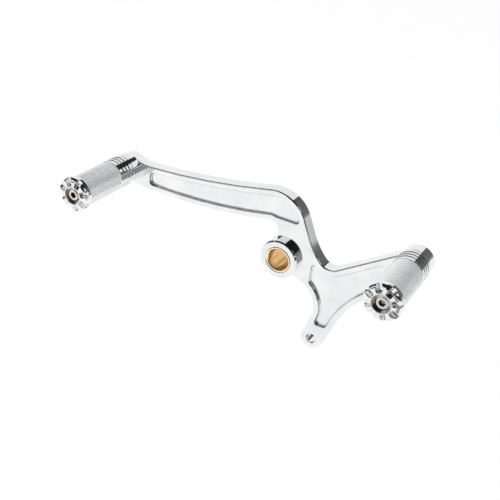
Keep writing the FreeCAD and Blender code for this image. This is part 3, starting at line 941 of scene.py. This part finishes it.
def peg_rings(seat):
    """The rings, with the numbers of the knurl's first and last ring."""
    rings = []
    for along, radius in collar_profile():
        rings.append(ring_of_points(along, lambda column, radius=radius: radius, seat))
    first_row = len(rings)
    rows = knurl_rows()
    for row in range(rows + 1):
        along = knurl_start + (knurl_end - knurl_start) * (row + 0.5) / (rows + 1)
        tip_or_pit = lambda column, row=row: peg_radius - knurl_depth * ((column + row) % 2 == 0)
        rings.append(ring_of_points(along, tip_or_pit, seat))
    last_row = len(rings) - 1
    end_radius = peg_radius - knurl_depth
    rings.append(ring_of_points(knurl_end, lambda column: end_radius, seat))
    rings.append(ring_of_points(peg_length, lambda column: end_radius - end_bevel, seat))
    rings.append(ring_of_points(peg_length, lambda column: bore_radius, seat))
    rings.append(ring_of_points(0.0, lambda column: bore_radius, seat))
    return rings, first_row, last_row


print("knurl rows:", knurl_rows())

# %% [markdown]
# Splitting each square of the knurl's grid from pit to pit gives exactly the groove lines. The collar
# is polished and the rest has the satin grip's finish, so the mesh carries both.

# %% Build a peg
sharp_edge_degrees = 32
satin_finish = 0
polished_finish = 1


def build_peg(name, seat):
    rings, first_row, last_row = peg_rings(seat)
    points = [point for ring in rings for point in ring]
    faces = []
    finishes = []
    for row in range(len(rings)):
        following = (row + 1) % len(rings)
        in_knurl = first_row <= row < last_row
        finish = polished_finish if row < first_row - 1 else satin_finish
        for column in range(columns_round):
            beside = (column + 1) % columns_round
            a = row * columns_round + column
            b = row * columns_round + beside
            c = following * columns_round + beside
            d = following * columns_round + column
            if not in_knurl:
                faces.append((a, b, c, d))
            elif (column + row - first_row) % 2 == 0:
                faces += [(a, b, c), (a, c, d)]
            else:
                faces += [(a, b, d), (b, c, d)]
        finishes += [finish] * (len(faces) - len(finishes))
    mesh = bpy.data.meshes.new(name)
    mesh.from_pydata(points, [], faces)
    mesh.shade_smooth()
    mesh.set_sharp_from_angle(angle=math.radians(sharp_edge_degrees))
    mesh.materials.append(knurled_chrome)
    mesh.materials.append(polished_chrome)
    for face, finish in zip(mesh.polygons, finishes):
        face.material_index = finish
    peg = bpy.data.objects.new(name, mesh)
    bpy.context.scene.collection.objects.link(peg)
    print(name, "has", len(mesh.polygons), "faces")
    return peg


def seat_of(node):
    low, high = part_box(node)
    return Vector(((low.x + high.x) / 2, high.y, (low.z + high.z) / 2))


for end in ("toe", "heel"):
    peg = build_peg(f"{end}_peg_knurled", seat_of(f"{end}_peg"))
    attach(peg, "root")
    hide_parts(f"{end}_peg")

# %% [markdown]
# Chrome has no look of its own: it shows the room. A photographer shapes that with cards, plain sheets
# of board that are set up round the part. Here each card is a patch of a sphere, given by the compass
# and height angles that it covers, and only reflections see it. Its shades go by height angle, from
# black at 0 to white at 1.

# %% How a card is made
card_columns = 24
card_rows = 12


def card_material(name, shades):
    material = bpy.data.materials.new(name)
    material.use_nodes = True
    shader = material.node_tree.nodes["Principled BSDF"]
    shader.inputs["Base Color"].default_value = (0.0, 0.0, 0.0, 1.0)
    shader.inputs["Roughness"].default_value = 1.0
    shader.inputs["Specular IOR Level"].default_value = 0.0
    place = add_node(material, "ShaderNodeTexCoord")
    unit = add_node(material, "ShaderNodeVectorMath", operation="NORMALIZE")
    join(material, place.outputs["Object"], unit.inputs[0])
    parts = add_node(material, "ShaderNodeSeparateXYZ")
    join(material, unit.outputs["Vector"], parts.inputs["Vector"])
    stops = [(math.sin(math.radians(height)), (shade,) * 3) for height, shade in shades]
    join(material, shades_of(material, parts.outputs["Z"], *stops), shader.inputs["Emission Color"])
    shader.inputs["Emission Strength"].default_value = 1.0
    return material


def add_card(name, compass, height, distance, shades, centre=(0.0, 0.0, 0.0)):
    points = []
    for row in range(card_rows + 1):
        for column in range(card_columns + 1):
            azimuth = math.radians(compass[0] + (compass[1] - compass[0]) * column / card_columns)
            elevation = math.radians(height[0] + (height[1] - height[0]) * row / card_rows)
            level = math.cos(elevation) * distance
            rise = math.sin(elevation) * distance
            points.append((math.cos(azimuth) * level, math.sin(azimuth) * level, rise))
    faces = []
    for row in range(card_rows):
        for column in range(card_columns):
            low = row * (card_columns + 1) + column
            faces.append((low, low + 1, low + card_columns + 2, low + card_columns + 1))
    mesh = bpy.data.meshes.new(name)
    mesh.from_pydata(points, [], faces)
    mesh.shade_smooth()
    mesh.materials.append(card_material(name, shades))
    card = bpy.data.objects.new(name, mesh)
    card.location = centre
    card.visible_camera = False
    card.visible_diffuse = False
    card.visible_shadow = False
    bpy.context.scene.collection.objects.link(card)
    print(name, "covers", compass, "by", height, "degrees")


print("a card has", card_columns * card_rows, "faces")

# %% [markdown]
# The photograph's room can be read from the lever. Faces that look down and forward show a white floor,
# the tops show a white sweep behind, and the edges between them show a thin black line, so the ceiling
# was dark. Walls that look right are grey, and the boss has a black band from the dark side where the
# camera stood. So the world is white, and dark cards stand in those places.

# %% Dark cards for the room
# the grey right side of the room, and its darker front part
right_shades = [(0, 0.62), (5, 0.22), (10, 0.15), (30, 0.13), (37, 0.04)]
add_card("right_card", (15, 77), (-6, 50), 1.2, right_shades)
add_card("right_front_card", (-34, 14), (-6, 30), 1.22, [(0, 0.06), (30, 0.03)])
# the dark side where the camera stands
add_card("camera_card", (-95, -32), (8, 62), 1.3, [(8, 0.05), (16, 0.012), (60, 0.012)])
# the dark ceiling, which comes lower on both sides
add_card("ceiling_card", (0, 360), (46, 89), 1.35, [(46, 0.03), (60, 0.02)])
add_card("low_right_ceiling_card", (60, 98), (37.5, 47), 1.34, [(37, 0.04), (47, 0.03)])
add_card("low_left_ceiling_card", (136, 265), (38, 47), 1.34, [(38, 0.04), (47, 0.03)])
# dark strips on the left
add_card("left_card", (145, 205), (3, 46), 1.25, [(3, 0.06), (46, 0.03)])
add_card("front_left_card", (218, 242), (-4, 18), 1.25, [(0, 0.10), (18, 0.05)])
# a grey strip of floor in front, nearer to the part
add_card("near_floor_card", (-78, -32), (-26, 8), 0.3, [(0, 0.36), (8, 0.05)])

# %% [markdown]
# Three small white cards stand nearer, each behind the part and a little to the right of what it
# lights, as a photographer would prop up pieces of white board. Two put the bright bars on the rings of
# the collars, and the third keeps the far side of the bore golden, where it would else mirror the grey
# side of the room.

# %% White cards near the part
toe_collar = (-0.139, -0.015, 0.035)
heel_collar = (0.0953, -0.007, 0.029)
add_card("toe_bar_card", (44, 64), (8, 32), 0.13, [(8, 1.0), (32, 1.0)], centre=toe_collar)
add_card("heel_bar_card", (42, 60), (-12, 4), 0.06, [(0, 1.0), (4, 1.0)], centre=heel_collar)
add_card("bore_card", (54, 86), (-8, 34), 0.085, [(0, 1.0), (34, 1.0)])

# %% [markdown]
# The floor is a plain pale sheet. To the camera and to reflections it adds a little light of its own,
# so that it reads as white as the photograph's background, but most of its brightness is still the
# light that falls on it, so the lever's soft shadow stays.

# %% The floor
floor_height = -0.16
floor_half = 4.0
floor_lift = 0.30
paper_shade = (0.88, 0.88, 0.88)
fibre_shade = (0.90, 0.90, 0.90)


def seen_not_lit(owner):
    """1 for rays that show the background, straight on or by a mirror or glass, and 0 for light."""
    rays = add_node(owner, "ShaderNodeLightPath")
    seen = add_node(owner, "ShaderNodeMath", operation="ADD", use_clamp=True)
    join(owner, rays.outputs["Is Camera Ray"], seen.inputs[0])
    join(owner, rays.outputs["Is Glossy Ray"], seen.inputs[1])
    seen_through = add_node(owner, "ShaderNodeMath", operation="ADD", use_clamp=True)
    join(owner, seen.outputs["Value"], seen_through.inputs[0])
    join(owner, rays.outputs["Is Transmission Ray"], seen_through.inputs[1])
    return seen_through.outputs["Value"]


def make_floor_paper():
    paper = bpy.data.materials.new("floor_paper")
    paper.use_nodes = True
    shader = paper.node_tree.nodes["Principled BSDF"]
    shader.inputs["Roughness"].default_value = 0.9
    shader.inputs["Specular IOR Level"].default_value = 0.0
    place = add_node(paper, "ShaderNodeTexCoord").outputs["Object"]
    fibre = noise_of(paper, place, scale=30.0, detail=4.0)
    tint = shades_of(paper, fibre, (0.3, paper_shade), (0.7, fibre_shade))
    join(paper, tint, shader.inputs["Base Color"])
    shader.inputs["Emission Color"].default_value = (1.0, 1.0, 1.0, 1.0)
    lift = range_of(paper, seen_not_lit(paper), low=0.0, high=floor_lift)
    join(paper, lift, shader.inputs["Emission Strength"])
    return paper


floor_mesh = bpy.data.meshes.new("floor")
corners = [(-1, -1), (1, -1), (1, 1), (-1, 1)]
floor_points = [(x * floor_half, y * floor_half, floor_height) for x, y in corners]
floor_mesh.from_pydata(floor_points, [], [(0, 1, 2, 3)])
floor_mesh.materials.append(make_floor_paper())
floor = bpy.data.objects.new("floor", floor_mesh)
bpy.context.scene.collection.objects.link(floor)
print("floor", round(-floor_height / mm), "mm below the pivot")

# %% [markdown]
# The world is an even white dome. It is at strength 1 for the camera and for reflections, which is
# plain white, and a little lower as light. One wide soft lamp from the upper left gives the forms a lit
# side.

# %% World and lamp
dome_light = 0.75
lamp_width = 0.9
lamp_power = 3.0
lamp_place = (-0.7, -0.6, 1.1)
lamp_target = (-0.02, 0.0, 0.0)

world = bpy.data.worlds.new("white_dome")
bpy.context.scene.world = world
world.use_nodes = True
dome = world.node_tree.nodes["Background"]
dome.inputs["Color"].default_value = (1.0, 1.0, 1.0, 1.0)
join(world, range_of(world, seen_not_lit(world), low=dome_light, high=1.0), dome.inputs["Strength"])

lamp_data = bpy.data.lights.new("soft_lamp", "AREA")
lamp_data.shape = "DISK"
lamp_data.size = lamp_width
lamp_data.energy = lamp_power
lamp = bpy.data.objects.new("soft_lamp", lamp_data)
lamp.location = lamp_place
lamp.rotation_euler = (Vector(lamp_target) - lamp.location).to_track_quat("-Z", "Y").to_euler()
lamp.visible_glossy = False
bpy.context.scene.collection.objects.link(lamp)
bpy.context.scene.view_settings.view_transform = "Standard"
print("dome light", dome_light, "lamp", lamp_power, "W")
